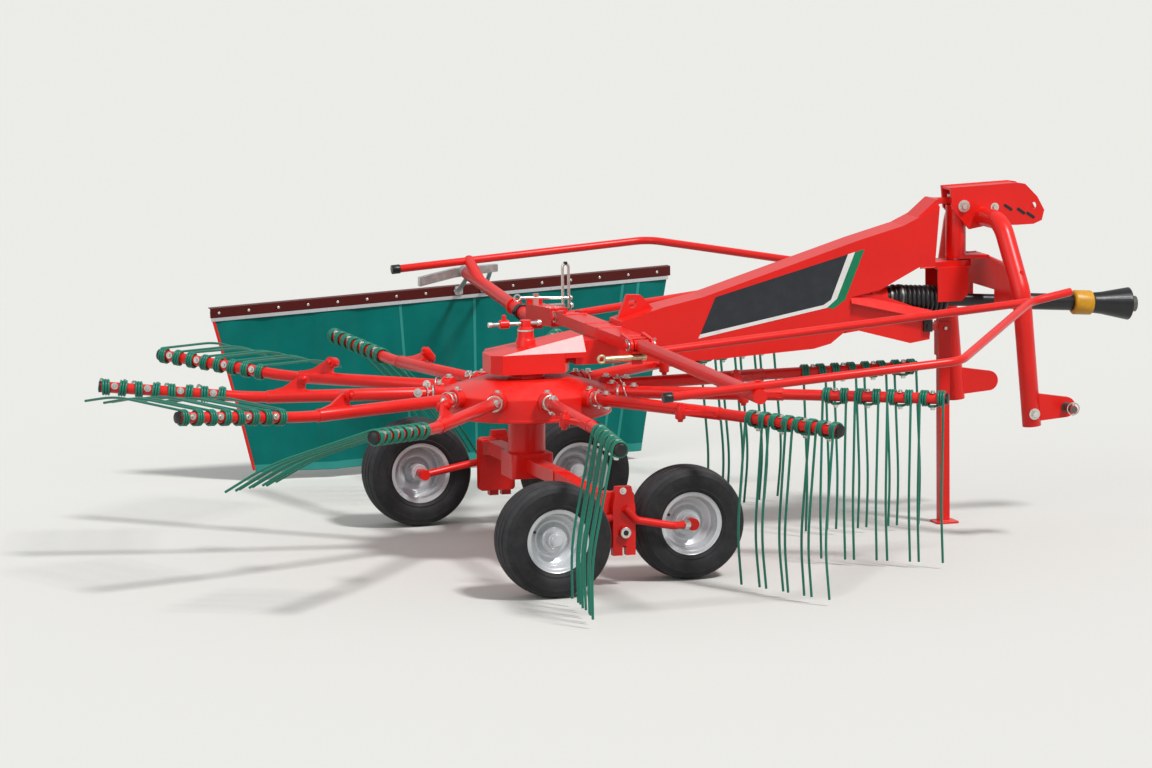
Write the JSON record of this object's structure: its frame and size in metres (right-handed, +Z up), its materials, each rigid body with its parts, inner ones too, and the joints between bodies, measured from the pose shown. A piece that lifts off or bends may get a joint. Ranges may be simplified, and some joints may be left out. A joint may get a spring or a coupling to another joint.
{
  "type": "rotary rake",
  "caption": "Single-rotor hay rake on tandem wheels with a boom, swivelling three-point headstock, guards and a swath curtain.",
  "frame": {"origin": "on the ground at the middle of the rake's outline seen from above", "axes": "+X forward to the tractor hitch, +Y to the left towards the curtain, +Z up"},
  "size_m": [4.0805, 3.8464, 1.305],
  "materials": {
    "red_paint": "gloss",
    "green_spring_steel": "satin",
    "silver_paint": "satin",
    "maroon_paint": "satin",
    "zinc_steel": "satin",
    "bare_steel": "rough",
    "tyre_rubber": "matte",
    "black_rubber": "matte",
    "black_plastic": "matte",
    "yellow_plastic": "satin",
    "teal_cloth": "matte"
  },
  "bodies": {
    "frame": {"column": "red_paint", "axle_beam": "red_paint", "tandem_left": "red_paint", "tandem_right": "red_paint", "gear_housing": "red_paint", "height_crank": "zinc_steel", "boom": "red_paint", "pivot_pin": "zinc_steel", "cross_beam": "red_paint", "shaft_bellows": "black_rubber", "shaft_tube": "black_plastic", "shaft_collar": "yellow_plastic", "shaft_cone": "black_plastic", "shaft_yoke": "bare_steel", "leg_bracket": "red_paint"},
    "rotor": {"rotor_bell": "red_paint", "tine_arm_01": "red_paint", "tine_arm_02": "red_paint", "tine_arm_03": "red_paint", "tine_arm_04": "red_paint", "tine_arm_05": "red_paint", "tine_arm_06": "red_paint", "tine_arm_07": "red_paint", "tine_arm_08": "red_paint", "tine_arm_09": "red_paint", "tine_arm_10": "red_paint", "tine_arm_11": "red_paint", "double_tines_01": "green_spring_steel", "double_tines_02": "green_spring_steel", "double_tines_03": "green_spring_steel", "double_tines_04": "green_spring_steel", "double_tines_05": "green_spring_steel", "double_tines_06": "green_spring_steel", "double_tines_07": "green_spring_steel", "double_tines_08": "green_spring_steel", "double_tines_09": "green_spring_steel", "double_tines_10": "green_spring_steel", "double_tines_11": "green_spring_steel"},
    "wheel_rear_left": {"tyre_rear_left": "tyre_rubber", "rim_rear_left": "silver_paint"},
    "wheel_rear_right": {"tyre_rear_right": "tyre_rubber", "rim_rear_right": "silver_paint"},
    "wheel_front_left": {"tyre_front_left": "tyre_rubber", "rim_front_left": "silver_paint"},
    "wheel_front_right": {"tyre_front_right": "tyre_rubber", "rim_front_right": "silver_paint"},
    "headstock": {"headstock": "red_paint"},
    "guard_left": {"guard_left": "red_paint", "guard_cap_left": "black_plastic"},
    "guard_right": {"guard_right": "red_paint", "guard_cap_right": "black_plastic"},
    "curtain": {"curtain_carrier": "zinc_steel", "curtain_bar": "maroon_paint", "curtain_cloth": "teal_cloth"},
    "parking_leg": {"parking_leg": "red_paint"}
  },
  "joints": [
    {"name": "rotor_spin", "type": "hinge", "parent": "frame", "child": "rotor", "pos_m": [-0.38, -0.209, 0.615], "axis": [0, 0, 1], "continuous": true},
    {"name": "wheel_rear_left_spin", "type": "hinge", "parent": "frame", "child": "wheel_rear_left", "pos_m": [-0.555, 0.641, 0.2055], "axis": [0, 1, 0], "continuous": true},
    {"name": "wheel_rear_right_spin", "type": "hinge", "parent": "frame", "child": "wheel_rear_right", "pos_m": [-0.555, -1.059, 0.2055], "axis": [0, 1, 0], "continuous": true},
    {"name": "wheel_front_left_spin", "type": "hinge", "parent": "frame", "child": "wheel_front_left", "pos_m": [0.012, 0.441, 0.2055], "axis": [0, 1, 0], "continuous": true},
    {"name": "wheel_front_right_spin", "type": "hinge", "parent": "frame", "child": "wheel_front_right", "pos_m": [0.012, -0.859, 0.2055], "axis": [0, 1, 0], "continuous": true},
    {"name": "headstock_swivel", "type": "hinge", "parent": "frame", "child": "headstock", "pos_m": [1.31, -0.209, 1], "axis": [0, 0, 1], "range_deg": [-20, 20]},
    {"name": "guard_left_fold", "type": "hinge", "parent": "frame", "child": "guard_left", "pos_m": [-0.08, 0.223, 0.82], "axis": [1, 0, 0], "range_deg": [0, 85]},
    {"name": "guard_right_fold", "type": "hinge", "parent": "frame", "child": "guard_right", "pos_m": [-0.08, -0.641, 0.82], "axis": [-1, 0, 0], "range_deg": [0, 85]},
    {"name": "curtain_slide", "type": "slide", "parent": "guard_left", "child": "curtain", "axis": [0, 0.9953, 0.0972], "range_m": [0, 0.35]},
    {"name": "parking_leg_slide", "type": "slide", "parent": "frame", "child": "parking_leg", "axis": [0, 0, 1], "range_m": [0, 0.35]}
  ]
}
